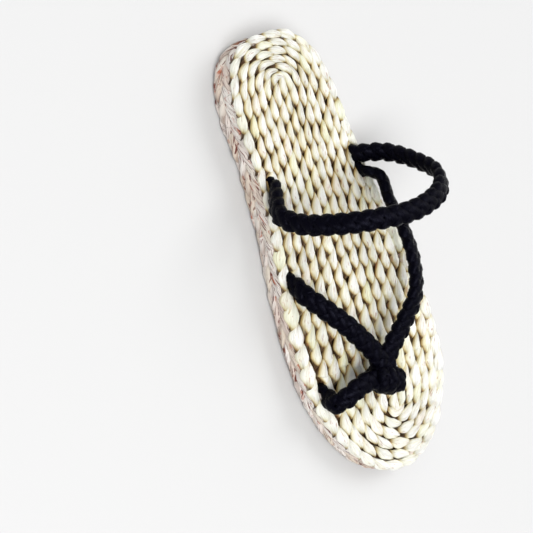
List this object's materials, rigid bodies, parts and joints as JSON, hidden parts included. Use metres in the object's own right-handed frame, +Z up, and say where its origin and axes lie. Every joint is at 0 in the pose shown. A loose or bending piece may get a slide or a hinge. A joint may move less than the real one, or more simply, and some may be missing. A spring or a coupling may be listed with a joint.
{
  "type": "zori sandal",
  "caption": "Left zori sandal with a sole coiled from a husk-leaf plait, knotted black cord thong with a big-toe loop, and a cord arch over the instep.",
  "frame": {"origin": "on the floor, under the middle of the sole's length, on the centre row of the tread", "axes": "+Z up from the floor; +Y along the foot towards the heel, the toe towards -Y; +X towards the outer (little toe) side"},
  "size_m": [0.1037, 0.2561, 0.081],
  "materials": {
    "husk_leaf": "pale dry husk leaf, twisted and plaited, satin along the fibres, brown where the leaves tuck in",
    "husk_edge": "flat face of the husk plait, greyer and drier, with reddish-brown streaks",
    "black_cord": "knotted black cord with a soft satin sheen"
  },
  "bodies": {
    "root": {"sole_coil": "husk_leaf", "edge_plait": "husk_edge", "thong_straps": "black_cord", "instep_strap": "black_cord"}
  },
  "joints": []
}
